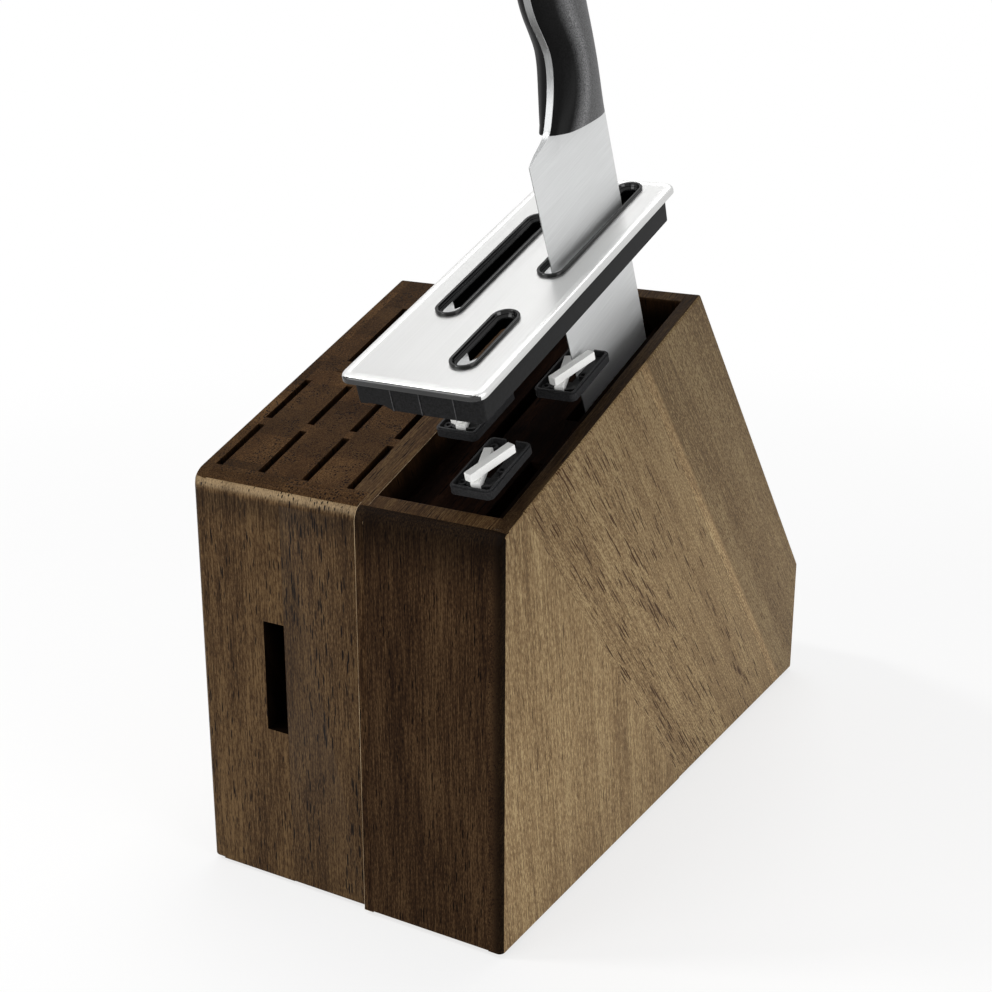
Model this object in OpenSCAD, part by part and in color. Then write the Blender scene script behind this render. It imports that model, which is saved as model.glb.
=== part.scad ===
// Knife block with a lift-out sharpening cartridge, shown open above its well, and one knife.
// X runs across the block, Y from front to back, Z up. Millimetres.
// The slope frame has its origin on the top front edge: its Y climbs the top and its Z leaves it squarely.

/* [Block] */
// Height of the front, from the base of the wood to the top front edge
front_h = 150; // [125:1:180]
// Slope of the top, in degrees
slope = 19.4; // [12:0.1:26]
// Depth of the right section at its base
block_depth = 277.5; // [260:0.5:310]
// Height of the upright part of the back
back_h = 53; // [30:1:80]
// How far the front of the left section stands behind the right one
left_setback = 2.5; // [0:0.1:6]
// How much shorter the left section is at the back
left_back_step = 15.6; // [5:0.2:22]
// Radius of the top front edge of the left section
left_edge_r = 8; // [2:0.5:9]
// Radius of the top front edge of the right section
right_edge_r = 6; // [2:0.5:9]
// Radius of the upright outer corners
corner_r = 2.2; // [0.5:0.1:3]
// Thickness of the left cheek
left_cheek_t = 5.1; // [4:0.1:8]
// Thickness of the right cheek
right_cheek_t = 5.4; // [4:0.1:8]
// Distances along the top from its back end to where the staves of the cheeks meet
cheek_seams = [143.4, 99.4, 55.4];

/* [Steak knife slots] */
// Thickness of a steak knife slot
steak_slot_t = 3; // [2:0.1:4]
// Length of a steak knife slot
steak_slot_len = 26; // [20:0.5:27]
// Thickness of the slats between the steak knife slots
steak_slat_t = 15.65; // [14:0.05:20]
// Thickness of the inner cheek of the left section
inner_cheek_t = 6.35; // [4:0.05:10]
// Distance along the top from the front edge to the first slots
left_front_t = 10.1; // [9:0.1:14]
// Gap between the two rows of steak knife slots
row_gap = 4.6; // [3:0.1:6]
// Length of the strip that closes the second row
row_end = 7.9; // [4:0.1:12]

/* [Long slots] */
// Thickness of a long slot
long_slot_t = 3.75; // [3:0.05:5]
// Length of a long slot
long_slot_len = 40.6; // [34:0.2:44]
// Length of the strip in front of a long slot
long_slot_lead = 7.9; // [4:0.1:12]

/* [Shears slot] */
// Width of the shears slot in the front
shears_w = 9; // [7:0.1:10]
// Height of the shears slot
shears_h = 41.6; // [30:0.2:50]
// Height of the lower end of the shears slot above the base
shears_z = 59.6; // [40:0.2:70]
// Depth of the shears slot
shears_depth = 95; // [70:1:105]
// Shift of the shears slot from the middle of its slat
shears_shift = -1.4; // [-1.6:0.1:1.6]

/* [Well] */
// Width of the well
well_w = 47.5; // [47:0.1:56]
// Length of the well along the top
well_len = 140.2; // [136:0.2:170]
// Distance along the top from the front edge to the well
well_front_t = 10.2; // [8:0.1:12]
// Thickness of the rim behind the well, along the top
well_back_t = 7; // [5:0.1:14]
// Thickness of the wall between the well and the left section
well_wall_t = 3.7; // [3:0.1:6]
// Clearance left under the seated cartridge
well_floor_gap = 0.5; // [0.3:0.1:2]
// Width of the deep blade slots under the well
blade_gap = 5; // [4.6:0.1:6]

/* [Cartridge] */
// How far the face plate laps over the base at its front and back
end_lap = 3.5; // [2.6:0.1:5]
// How far the face plate laps over the base at its sides
side_lap = 2.85; // [2.2:0.05:3.5]
// Thickness of the face plate's sheet
sheet_t = 1; // [0.6:0.1:1.2]
// Height of the face plate's rolled rim
rim_h = 2.4; // [2.2:0.1:3.5]
// Radius of the rolled rim
rim_r = 1.5; // [0.8:0.1:2]
// Radius of the face plate's corners
plate_corner_r = 4.5; // [3:0.1:7]
// Depth of the base below the rim
base_depth = 10.2; // [7.5:0.1:12]
// Wall of the base
base_wall = 1.6; // [1.2:0.1:1.6]
// Clearance between the base and the well, each side
base_clear = 0.35; // [0.3:0.05:0.8]
// Height of the shallow relief in the base's front left edge
relief_h = 1.5; // [0.5:0.1:2]
// Length of that relief
relief_len = 12; // [6:0.5:16]
// Distance between the two columns of slots
column_gap = 22; // [20:0.1:24]
// Opening width of the plate's slots
slot_w = 5.6; // [5:0.1:6]
// Width of the raised bezel around a slot
bezel_w = 2.3; // [1.8:0.1:2.4]
// Height of the raised bezel
bezel_h = 1.6; // [1.2:0.1:2]
// Length of the opening of the short slot
short_len = 31.8; // [26:0.2:34]
// Length of the opening of the left slot
left_len = 68.4; // [60:0.2:72]
// Length of the opening of the rear slot
rear_len = 66.4; // [64:0.2:66.8]
// Distance from the base's front to the short slot's sharpener
short_y = 1.85; // [1.6:0.05:6]
// Distance from the base's front to the left slot's sharpener
left_y = 30.45; // [24:0.05:36]
// Distance from the rear slot's opening to the base's back
rear_in = 2.3; // [2:0.1:6]

/* [Sharpeners] */
// Width of a sharpener tray
tray_w = 16; // [14:0.1:17]
// Length of a sharpener tray
tray_len = 29.3; // [28:0.1:29.6]
// Height of a sharpener tray
tray_h = 3.4; // [2.8:0.1:3.6]
// Wall of a sharpener tray
tray_wall = 1.2; // [0.8:0.1:1.4]
// Floor of a sharpener tray
tray_floor = 1; // [0.8:0.1:1.1]
// Side of the square ceramic sticks
stick = 3.2; // [2.8:0.1:3.2]
// Length of a ceramic stick
stick_len = 20.4; // [18:0.1:20.6]
// Angle of each stick from the blade's plane, in degrees
stick_angle = 16.5; // [14:0.1:17]
// Width of the tray's blade slot
tray_slot_w = 4; // [3.6:0.1:5]

/* [Knife] */
// Width of the blade
blade_w = 52.5; // [44:0.1:54]
// Length of the blade from heel to tip
blade_len = 178; // [150:1:180]
// Thickness of the blade at the spine
blade_t = 2.2; // [1.8:0.1:2.6]
// Thickness of the tang
tang_t = 2.4; // [2:0.1:3]
// Length of the handle above the heel
handle_len = 118; // [108:1:126]
// Thickness of each handle scale
scale_t = 6.6; // [5:0.1:8]

/* [Open view] */
// Height at which the cartridge is held above its seat
lift = 45; // [30:1:60]
// Distance of the sharpeners below their seats in the cartridge
sharpener_drop = 31; // [20:0.1:34]
// Height of the knife above its fully home place
knife_raise = 35; // [20:0.1:60]
// Lean of the knife towards the front within its slot, in degrees
knife_lean = 5; // [0:0.1:5.5]

/* [Feet] */
// Thickness of the non-slip pads
foot_h = 1.5; // [1:0.1:3]
// Radius of the non-slip pads
foot_r = 6; // [4:0.5:8]
// Distance of a pad's centre from the sides
foot_in = 13; // [10:0.5:20]

/* [Hidden] */
$fn = 48;
far = 600;                      // longer than any piece
eps = 0.01;
over = 1;                       // how far a cutting shape reaches past what it cuts
seat_gap = 0.3;                 // gap left where a moving piece comes to rest
side_fit = 0.05;                // fit of the guides in their slots

// Across the block
steak_pitch = steak_slot_t + steak_slat_t;
slat_x = [for (i = [0:2]) left_cheek_t + steak_slot_t + i * steak_pitch];
inner_x = slat_x[2] + steak_pitch;
left_w = inner_x + inner_cheek_t;
right_w = well_wall_t + well_w + right_cheek_t;
total_w = left_w + right_w;
well_x = left_w + well_wall_t;
cheek_x = well_x + well_w;
well_mid = well_x + well_w / 2;
long_slot_x = [for (i = [0, 2]) slat_x[i] + (steak_slat_t - long_slot_t) / 2];
shears_x = slat_x[1] + (steak_slat_t - shears_w) / 2 + shears_shift;

// Side outline
top_len = well_front_t + well_len + well_back_t;
top_y = top_len * cos(slope);
top_z = front_h + top_len * sin(slope);
back_angle = atan((block_depth - top_y) / (top_z - back_h));
left_drop = left_back_step * tan(slope) / (cos(back_angle) + sin(back_angle) * tan(slope));
left_top_y = top_y - left_back_step + left_drop * sin(back_angle);
left_top_z = top_z - left_drop * cos(back_angle);
left_depth = block_depth - left_back_step;

// Along the top
row_u = [left_front_t, left_front_t + steak_slot_len + row_gap];
row_back = row_u[1] + steak_slot_len;
core_split = row_back + row_end;
long_slot_u = core_split + long_slot_lead;
left_core_back = long_slot_u + long_slot_len;
well_back = well_front_t + well_len;
base_len = well_len - 2 * base_clear;
base_half = well_w / 2 - base_clear;
plate_len = base_len + 2 * end_lap;
plate_w = 2 * base_half + 2 * side_lap;
plate_u = well_front_t + base_clear - end_lap;

// Cartridge, in a frame with its origin under the middle of the plate's front rim
recess_depth = base_depth + well_floor_gap;
flange_t = rim_h - sheet_t;
flange_gap = 0.2;
base_y = end_lap;
base_corner_r = 2.5;
column_x = column_gap / 2;
crossing_y = 6.2;                                   // from a tray's front to where its sticks cross
notch_y = crossing_y + stick / 2 / sin(stick_angle); // from a tray's front to the open notch
guide_notch = 2.2;
slot_lead = notch_y - guide_notch;                  // from a tray's front to its slot's opening
tray_y = [base_y + short_y, base_y + left_y,
    base_y + base_len - rear_in - rear_len - slot_lead];
columns = [column_x, -column_x, column_x];
slot_lens = [short_len, left_len, rear_len];
guide_len = 7.5;
rib_x = [-9.4, 1.2, 13.7];                           // thin moulded lines on the base's front
line_w = 0.4;
line_h = 0.2;

// Sharpener trays
tray_r = 2.2;
boss_r = 1.6;
boss_hole_r = 0.8;
rim_step = 0.5;
rib_h = 1.3;
rib = [[-3.2, 3.6], [0.8, 2.6], [5.6, 4.6], [5.6, 5.7], [0.8, 3.7], [-3.2, 4.7]];
boss_in = 3;                                        // from a tray's left side to its left bosses
boss_right_in = 3.4;                                // from a tray's right side to its right boss
boss_front = 4.4;                                   // from a tray's front to its front boss
boss_middle = 13.9;
boss_back = 4;                                      // from a tray's back to its back boss
boss_at = [[-tray_w / 2 + boss_in, boss_front], [tray_w / 2 - boss_right_in, boss_middle],
    [-tray_w / 2 + boss_in, tray_len - boss_back]];
under_gap = 2;                                      // left between the base and the lowered trays' tops
stick_front = 4;
drop = min(sharpener_drop, lift - base_depth - under_gap);
tray_z = -(base_depth - tray_h) - drop;

// Knife, in a frame with its origin at the heel: Y from the edge to the spine, Z up the handle
edge_clear = 0.5;                                   // gap between the edge and the notch
edge_t = 0.3;
handle_low = 1.9;                                   // how far the handle reaches below the heel
knife_n = lift + rim_h + bezel_h + handle_low + knife_raise;
knife_u = plate_u + tray_y[2] + notch_y + edge_clear - (knife_n - lift) * tan(knife_lean);
belly_points = [[0, 0], [4.9, 1.6], [13.4, 3.6], [17.6, 8.2], [21.4, 14.4], [23.8, 20.8],
    [24.3, 27], [22.4, 33.5], [20.1, 39.9], [19, 46.5], [19.3, 56], [21.6, 68], [23.6, 80],
    [23.6, 92], [20.6, 103], [16.2, 112], [14, 118]];
point_t = 15;                                       // how far the point lies behind the edge line
curve_s = 40;                                       // where the edge starts to curve
drop_s = 56;                                        // length of the spine's curve to the point
foot_z = 3.8;                                       // lower end of the scales at the belly
foot_angle = 16.594;                                // slant of the scales' lower end
handle_n = 26;
handle_crown = 0.8;                                 // how far the handle's back bulges behind the blade's
tang_proud = 0.15;                                  // how far the tang stands proud of the scales
butt_gap = 0.4;                                     // how far the scales end below the tang's top
swell_at = 10;                                      // height of the scales' thickest place
swell_pitch = 80;                                   // distance to the next one
spine_step = 4;                                     // depth of the step from the spine to the tang
// Outline of a scale's section: share of its thickness and share of the handle's width
section = [[0, 0.004], [0.35, 0.03], [0.68, 0.085], [0.9, 0.14], [1, 0.21], [1, 0.3],
    [0.95, 0.43], [0.85, 0.56], [0.72, 0.69], [0.56, 0.8], [0.38, 0.88], [0.18, 0.95], [0, 0.995]];

// How far the raised plate reaches past the front of the block
front_reach = max(0, (lift + rim_h - rim_r) * sin(slope) + rim_r - (plate_u + rim_r) * cos(slope));

module at_home() { translate([-total_w / 2, (front_reach - block_depth) / 2, foot_h]) children(); }

// Moves children from the slope frame to the block's frame
module on_slope() { at_home() translate([0, 0, front_h]) rotate([slope, 0, 0]) children(); }

module in_cartridge() { on_slope() translate([well_mid, plate_u, lift]) children(); }

// An upright board: a side outline given from X x0, t thick
module board(x0, t) { at_home() translate([x0, 0, 0]) rotate([90, 0, 90]) linear_extrude(t) children(); }

// Rounds the top front edge of a side outline whose front stands at y0
module rounded_front(y0, r) {
    corner_z = front_h + y0 * tan(slope);
    centre = [y0 + r, front_h + (y0 + r) * tan(slope) - r / cos(slope)];
    touch = centre + r * [-sin(slope), cos(slope)];
    difference() {
        children();
        difference() {
            polygon([[y0 - over, centre[1]], [y0 - over, corner_z + 2 * over],
                touch + 2 * over * [-sin(slope), cos(slope)], touch, centre]);
            translate(centre) circle(r);
        }
    }
}

module right_outline() {
    rounded_front(0, right_edge_r)
        polygon([[0, 0], [0, front_h], [top_y, top_z], [block_depth, back_h], [block_depth, 0]]);
}

module left_outline() {
    corner_z = front_h + left_setback * tan(slope);
    rounded_front(left_setback, left_edge_r)
        polygon([[left_setback, 0], [left_setback, corner_z], [left_top_y, left_top_z],
            [left_depth, back_h], [left_depth, 0]]);
}

// The part of a side outline between two lines square to the top, from u0 to u1 along it
module band(u0, u1, below = -far) {
    translate([0, front_h]) rotate(slope) translate([u0, -far]) square([u1 - u0, far - below]);
}

// The part of a side outline between two lines parallel to the slanting back
module stave(u0, u1) {
    down = far * [sin(back_angle), -cos(back_angle)];
    ends = [for (u = [u0, u1]) [u * cos(slope), front_h + u * sin(slope)]];
    polygon([ends[0] - down, ends[1] - down, ends[1] + down, ends[0] + down]);
}

function seam_u(i) = top_len - cheek_seams[i];

function stave_ends(i) = [i == 0 ? -far : seam_u(i - 1), i == 3 ? far : seam_u(i)];

// Rounds an upright corner that lies at [x, y]; dir points from the corner into the wood
module round_upright(x, y, dir) {
    at_home() translate([x, y, -eps]) linear_extrude(far) difference() {
        translate([min(dir[0], 0) * corner_r - (dir[0] > 0 ? over : 0), -over])
            square([corner_r + over, corner_r + over]);
        translate([dir[0] * corner_r, corner_r]) circle(corner_r);
    }
}

module left_cheek(i) {
    ends = stave_ends(i);
    color("#4d3a28") difference() {
        board(0, left_cheek_t) intersection() { left_outline(); stave(ends[0], ends[1]); }
        round_upright(0, left_setback, [1, 1]);
    }
}

module left_front_slotted() {
    notch_x = shears_x + shears_w - left_cheek_t;
    color("#4a3726") difference() {
        board(left_cheek_t, notch_x) intersection() { left_outline(); band(-far, left_front_t); }
        shears_cut();
    }
}

module left_front_plain() {
    x0 = shears_x + shears_w;
    color("#46341f") board(x0, left_w - x0)
        intersection() { left_outline(); band(-far, left_front_t); }
}

module shears_cut() {
    at_home() translate([shears_x, left_setback - over, shears_z])
        cube([shears_w, shears_depth + over, shears_h]);
}

module steak_slat(i) {
    color("#54402c") difference() {
        board(slat_x[i], steak_slat_t)
            intersection() { left_outline(); band(left_front_t, core_split); }
        if (i == 1) shears_cut();
    }
}

module inner_cheek() {
    color("#4f3b28") board(inner_x, inner_cheek_t)
        intersection() { left_outline(); band(left_front_t, core_split); }
}

// Strips between the steak slats, which close the ends of the slots
module strips(u0, u1) {
    for (i = [0:3]) board(left_cheek_t + i * steak_pitch, steak_slot_t)
        intersection() { left_outline(); band(u0, u1); }
}

module row_strips() { color("#4b3826") strips(row_u[0] + steak_slot_len, row_u[1]); }

module row_end_strips() { color("#4b3826") strips(row_back, core_split); }

module rear_slat(i) {
    x0 = [left_cheek_t, long_slot_x[0] + long_slot_t, long_slot_x[1] + long_slot_t][i];
    x1 = [long_slot_x[0], long_slot_x[1], left_w][i];
    color("#513d2a") board(x0, x1 - x0)
        intersection() { left_outline(); band(core_split, left_core_back); }
}

module long_slot_strips() {
    color("#4b3826") for (x = long_slot_x) board(x, long_slot_t)
        intersection() { left_outline(); band(core_split, long_slot_u); }
}

module left_back_board() {
    color("#4d3a28") board(left_cheek_t, left_w - left_cheek_t)
        intersection() { left_outline(); band(left_core_back, far); }
}

module well_wall() { color("#4d3a28") board(left_w, well_wall_t) right_outline(); }

module right_front_board() {
    color("#46341f") board(well_x, well_w)
        intersection() { right_outline(); band(-far, well_front_t); }
}

module right_back_board() {
    color("#4d3a28") board(well_x, well_w)
        intersection() { right_outline(); band(well_back, far); }
}

// A slat under the well's floor, from x0 to x1 measured from the middle of the well
module well_slat(x0, x1, u0 = well_front_t, u1 = well_back) {
    board(well_mid + x0, x1 - x0)
        intersection() { right_outline(); band(u0, u1, recess_depth); }
}

module well_slat_left() { color("#33261a") well_slat(-well_w / 2, -column_x - blade_gap / 2); }

module well_slat_middle() {
    color("#33261a") well_slat(-column_x + blade_gap / 2, column_x - blade_gap / 2);
}

module well_slat_right() { color("#33261a") well_slat(column_x + blade_gap / 2, well_w / 2); }

function slot_u(i) = plate_u + tray_y[i] + slot_lead;

module slot_strip(column, u0, u1) {
    color("#33261a") well_slat(column - blade_gap / 2, column + blade_gap / 2, u0, u1);
}

module left_slot_strips() {
    slot_strip(-column_x, well_front_t, slot_u(1));
    slot_strip(-column_x, slot_u(1) + left_len, well_back);
}

module right_slot_strips() {
    slot_strip(column_x, well_front_t, slot_u(0));
    slot_strip(column_x, slot_u(0) + short_len, slot_u(2));
}

module right_cheek(i) {
    ends = stave_ends(i);
    color("#8c7350") difference() {
        board(cheek_x, right_cheek_t) intersection() { right_outline(); stave(ends[0], ends[1]); }
        round_upright(total_w, 0, [-1, 1]);
    }
}

module feet() {
    color("#222222") at_home()
        for (x = [foot_in, total_w - foot_in], y = [left_setback + foot_in, left_depth - foot_in])
            translate([x, y, -foot_h]) cylinder(r = foot_r, h = foot_h);
}

// A rectangle with round corners, centred across and starting at y = 0
module round_rect(w, l, r) {
    translate([-w / 2 + r, 0]) square([w - 2 * r, l]);
    translate([-w / 2, r]) square([w, l - 2 * r]);
    for (x = [-w / 2 + r, w / 2 - r], y = [r, l - r]) translate([x, y]) circle(r);
}

// A slot outline with round ends: w wide and l long, starting at y = 0
module slot_shape(w, l) {
    translate([-w / 2, w / 2]) square([w, l - w]);
    for (y = [w / 2, l - w / 2]) translate([0, y]) circle(w / 2);
}

// Puts children at the front of the opening of slot i, on the plate
module at_slot(i) { translate([columns[i], tray_y[i] + slot_lead, 0]) children(); }

module slot_cuts(grow) {
    for (i = [0:2]) at_slot(i) translate([0, -grow, -far / 2]) linear_extrude(far)
        slot_shape(slot_w + 2 * grow, slot_lens[i] + 2 * grow);
}

module face_plate() {
    steps = 5;
    color("#d9d9d8") in_cartridge() difference() {
        hull() {
            linear_extrude(eps) round_rect(plate_w, plate_len, plate_corner_r, $fn = 32);
            for (k = [0:steps]) let (a = 90 * k / steps, inset = rim_r * (1 - cos(a)))
                translate([0, inset, rim_h - rim_r + rim_r * sin(a) - eps]) linear_extrude(eps)
                    round_rect(plate_w - 2 * inset, plate_len - 2 * inset,
                        plate_corner_r - inset, $fn = 32);
        }
        translate([0, sheet_t, -eps]) linear_extrude(flange_t + eps)
            round_rect(plate_w - 2 * sheet_t, plate_len - 2 * sheet_t, plate_corner_r - sheet_t);
        slot_cuts(sheet_t);
    }
}

module cartridge_base() {
    flange_in = sheet_t + flange_gap;
    color("#232325") in_cartridge() difference() {
        union() {
            translate([0, flange_in, 0]) linear_extrude(flange_t) round_rect(plate_w - 2 * flange_in,
                plate_len - 2 * flange_in, plate_corner_r - flange_in);
            translate([0, base_y, -base_depth]) linear_extrude(base_depth)
                round_rect(2 * base_half, base_len, base_corner_r);
            for (x = rib_x) translate([x - line_w / 2, base_y - line_h, -base_depth])
                cube([line_w, base_wall, base_depth]);
        }
        translate([0, base_y + base_wall, -base_depth - eps]) linear_extrude(base_depth + eps)
            round_rect(2 * (base_half - base_wall), base_len - 2 * base_wall,
                base_corner_r - base_wall / 2);
        slot_cuts(0);
        translate([-base_half - eps, base_y - eps, -base_depth]) rotate([90, 0, 0])
            translate([0, 0, -base_wall - 2 * eps]) linear_extrude(base_wall + 4 * eps)
            polygon([[0, -eps], [0, relief_h], [relief_len - relief_h, relief_h],
                [relief_len + relief_h, -eps]]);
    }
}

// Cross-section of a bezel, measured outwards from the edge of its opening
module bezel_section() {
    translate([0, -sheet_t]) square([sheet_t - side_fit, sheet_t + bezel_h / 2]);
    square([bezel_w, bezel_h - bezel_w / 2]);
    intersection() {
        translate([bezel_w / 2, bezel_h - bezel_w / 2]) circle(bezel_w / 2);
        square([bezel_w, bezel_h]);
    }
}

module bezel(i) {
    r = slot_w / 2;
    straight = slot_lens[i] - slot_w;
    color("#141416") in_cartridge() at_slot(i) translate([0, r, rim_h]) {
        for (side = [0, 1]) mirror([side, 0, 0]) translate([r, straight, 0]) rotate([90, 0, 0])
            linear_extrude(straight) bezel_section();
        translate([0, straight, 0]) rotate_extrude(angle = 180) translate([r, 0]) bezel_section();
        rotate([0, 0, 180]) rotate_extrude(angle = 180) translate([r, 0]) bezel_section();
    }
}

module guide(i) {
    color("#b9babb") in_cartridge() at_slot(i) linear_extrude(flange_t) difference() {
        translate([0, side_fit]) slot_shape(slot_w - 2 * side_fit, slot_w * 3);
        polygon([[0, guide_notch], [slot_w, guide_notch + (guide_len - guide_notch) * 2],
            [slot_w, slot_w * 4], [-slot_w, slot_w * 4],
            [-slot_w, guide_notch + (guide_len - guide_notch) * 2]]);
    }
}

// Puts children at the front of tray i, level with its rim
module at_tray(i) { in_cartridge() translate([columns[i], tray_y[i], tray_z]) children(); }

module tray(i) {
    color("#2a2b2d") at_tray(i) difference() {
        union() {
            difference() {
                translate([0, 0, -tray_h]) linear_extrude(tray_h - rim_step)
                    round_rect(tray_w, tray_len, tray_r);
                tray_hollow();
            }
            difference() {
                translate([0, rim_step, -rim_step - eps]) linear_extrude(rim_step + eps)
                    round_rect(tray_w - 2 * rim_step, tray_len - 2 * rim_step, tray_r - rim_step);
                tray_hollow();
            }
            translate([0, 0, tray_floor - tray_h - eps]) linear_extrude(rib_h + eps) {
                polygon(rib);
                for (b = boss_at) translate(b) circle(boss_r);
            }
        }
        for (b = boss_at) translate([b[0], b[1], tray_floor - tray_h])
            cylinder(r = boss_hole_r, h = tray_h);
        translate([-tray_slot_w / 2, notch_y - stick / 2, -tray_h - eps])
            cube([tray_slot_w, tray_len, tray_h + 2 * eps]);
        for (level = [0, 1]) stick_place(level) translate([-side_fit, -side_fit, 0])
            cube([stick + 2 * side_fit, stick_len + 2 * side_fit, tray_h]);
    }
}

module tray_hollow() {
    translate([0, tray_wall, tray_floor - tray_h]) linear_extrude(tray_h)
        round_rect(tray_w - 2 * tray_wall, tray_len - 2 * tray_wall, tray_r - tray_wall);
}

// Puts children at the corner of a tray's lower or upper stick
module stick_place(level) {
    translate([0, crossing_y, tray_floor - tray_h + level * stick])
        rotate([0, 0, level == 0 ? stick_angle : -stick_angle]) translate([-stick / 2, -stick_front, 0])
        children();
}

module ceramic(i, level) {
    color("#f2f2f0") at_tray(i) stick_place(level) cube([stick, stick_len, stick]);
}

module in_knife() {
    on_slope() translate([well_mid + column_x, knife_u, knife_n]) rotate([knife_lean, 0, 0])
        children();
}

// A smooth line through points, with n steps between each two
function smooth(p, n) = [for (i = [0:len(p) - 2], k = [0:n - 1])
    let (a = p[max(i - 1, 0)], b = p[i], c = p[i + 1], d = p[min(i + 2, len(p) - 1)], t = k / n)
    0.5 * (2 * b + (c - a) * t + (2 * a - 5 * b + 4 * c - d) * t * t
        + (3 * b - a - 3 * c + d) * t * t * t), [p[len(p) - 1][0], p[len(p) - 1][1]]];

belly_line = smooth(belly_points, 3);
belly_table = [for (p = belly_line) [p[1], p[0]]];
end_z = belly_points[len(belly_points) - 1][1];

// The back of the handle at height z
function handle_back(z) = blade_w + handle_crown * sin(180 * min(1, max(0, z / end_z)));

module blade() {
    edge = [for (k = [0:18]) let (z = blade_len * k / 18)
        [point_t * pow(max(0, z - curve_s) / (blade_len - curve_s), 2.6), -z]];
    drop = [for (k = [1:12]) let (a = 90 * k / 12)
        [point_t + (blade_w - point_t) * sin(a), -blade_len + drop_s - drop_s * cos(a)]];
    back = [for (k = [0:12]) let (z = handle_len * (1 - k / 12)) [handle_back(z), z]];
    belly = [for (p = belly_line) if (p[1] > foot_z) [p[0], p[1] * handle_len / end_z]];
    color("#d4d5d6") in_knife() {
        intersection() {
            translate([-blade_t, 0, 0]) rotate([90, 0, 90]) linear_extrude(2 * blade_t)
                polygon(concat(edge, drop, [[blade_w, foot_z + spine_step]],
                    [for (k = [9:-1:1]) belly_line[k]]));
            translate([0, 0, -blade_len - 1]) linear_extrude(blade_len + far)
                polygon([[-edge_t / 2, -eps], [edge_t / 2, -eps], [blade_t / 2, blade_w],
                    [blade_t / 2, blade_w + spine_step], [-blade_t / 2, blade_w + spine_step],
                    [-blade_t / 2, blade_w]]);
        }
        translate([-tang_t / 2, 0, 0]) rotate([90, 0, 90]) linear_extrude(tang_t)
            polygon(concat([[blade_w - 1, foot_z]], belly, back));
    }
}

// A section of a scale at station k, from the foot to the butt
function scale_section(k) =
    let (f = k / handle_n,
        z = foot_z + (handle_len - foot_z - butt_gap) * (f + 0.12 * sin(360 * f) / 3),
        low = lookup(z * end_z / handle_len, belly_table) + tang_proud,
        high = handle_back(z) - tang_proud,
        slant = tan(foot_angle) * pow(1 - min(1, 2 * f), 1.5),
        round_foot = sqrt(1 - pow(1 - min(1, (k + 1.2) / 4), 2)),
        round_butt = sqrt(1 - pow(1 - min(1, (handle_n - k + 0.6) / 4), 2)),
        thick = scale_t * (0.93 + 0.07 * cos(360 * (z - swell_at) / swell_pitch)) * round_foot
            * round_butt)
    [for (p = section) let (y = low + p[1] * (high - low))
        [tang_t / 2 + p[0] * thick, y, z - slant * (y - low)]];

module handle_scale() {
    pts = [for (k = [0:handle_n]) each scale_section(k)];
    n = len(section);
    sides = [for (k = [0:handle_n - 1], j = [0:n - 1])
        let (a = k * n + j, b = k * n + (j + 1) % n) each [[a, b, b + n], [a, b + n, a + n]]];
    polyhedron(pts, concat(sides, [[for (j = [n - 1:-1:0]) j]],
        [[for (j = [0:n - 1]) handle_n * n + j]]));
}

module handle_scale_right() { color("#2b2b2d") in_knife() handle_scale(); }

module handle_scale_left() { color("#2b2b2d") in_knife() mirror([1, 0, 0]) handle_scale(); }

left_cheek(0);  // left_cheek_1
left_cheek(1);  // left_cheek_2
left_cheek(2);  // left_cheek_3
left_cheek(3);  // left_cheek_4
left_front_slotted();
left_front_plain();
steak_slat(0);  // steak_slat_1
steak_slat(1);  // steak_slat_2
steak_slat(2);  // steak_slat_3
inner_cheek();
row_strips();
row_end_strips();
rear_slat(0);  // rear_slat_1
rear_slat(1);  // rear_slat_2
rear_slat(2);  // rear_slat_3
long_slot_strips();
left_back_board();
well_wall();
right_front_board();
well_slat_left();
well_slat_middle();
well_slat_right();
left_slot_strips();
right_slot_strips();
right_back_board();
right_cheek(0);  // right_cheek_1
right_cheek(1);  // right_cheek_2
right_cheek(2);  // right_cheek_3
right_cheek(3);  // right_cheek_4
feet();
face_plate();
cartridge_base();
bezel(0);  // short_bezel
bezel(1);  // left_bezel
bezel(2);  // rear_bezel
guide(0);  // short_guide
guide(1);  // left_guide
guide(2);  // rear_guide
tray(0);  // short_tray
ceramic(0, 0);  // short_stick_low
ceramic(0, 1);  // short_stick_high
tray(1);  // left_tray
ceramic(1, 0);  // left_stick_low
ceramic(1, 1);  // left_stick_high
tray(2);  // rear_tray
ceramic(2, 0);  // rear_stick_low
ceramic(2, 1);  // rear_stick_high
blade();
handle_scale_left();
handle_scale_right();
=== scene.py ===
import math
import random

import bmesh
import bpy
from mathutils import Matrix, Vector
from mathutils.bvhtree import BVHTree


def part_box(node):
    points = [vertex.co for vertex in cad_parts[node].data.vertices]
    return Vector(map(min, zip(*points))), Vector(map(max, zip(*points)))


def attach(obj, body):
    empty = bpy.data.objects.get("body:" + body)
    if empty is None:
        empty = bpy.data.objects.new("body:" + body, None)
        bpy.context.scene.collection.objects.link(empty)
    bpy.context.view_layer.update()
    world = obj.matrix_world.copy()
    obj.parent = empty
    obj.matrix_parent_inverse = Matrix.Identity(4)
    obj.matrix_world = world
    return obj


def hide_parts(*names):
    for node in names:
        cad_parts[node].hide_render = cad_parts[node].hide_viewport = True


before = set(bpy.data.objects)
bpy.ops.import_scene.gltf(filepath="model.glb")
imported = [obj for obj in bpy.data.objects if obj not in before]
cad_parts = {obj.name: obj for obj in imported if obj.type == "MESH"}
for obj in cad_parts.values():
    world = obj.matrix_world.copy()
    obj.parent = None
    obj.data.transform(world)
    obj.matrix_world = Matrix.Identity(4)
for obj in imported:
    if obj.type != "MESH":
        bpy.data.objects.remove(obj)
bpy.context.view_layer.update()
print("frame loaded")

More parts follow.
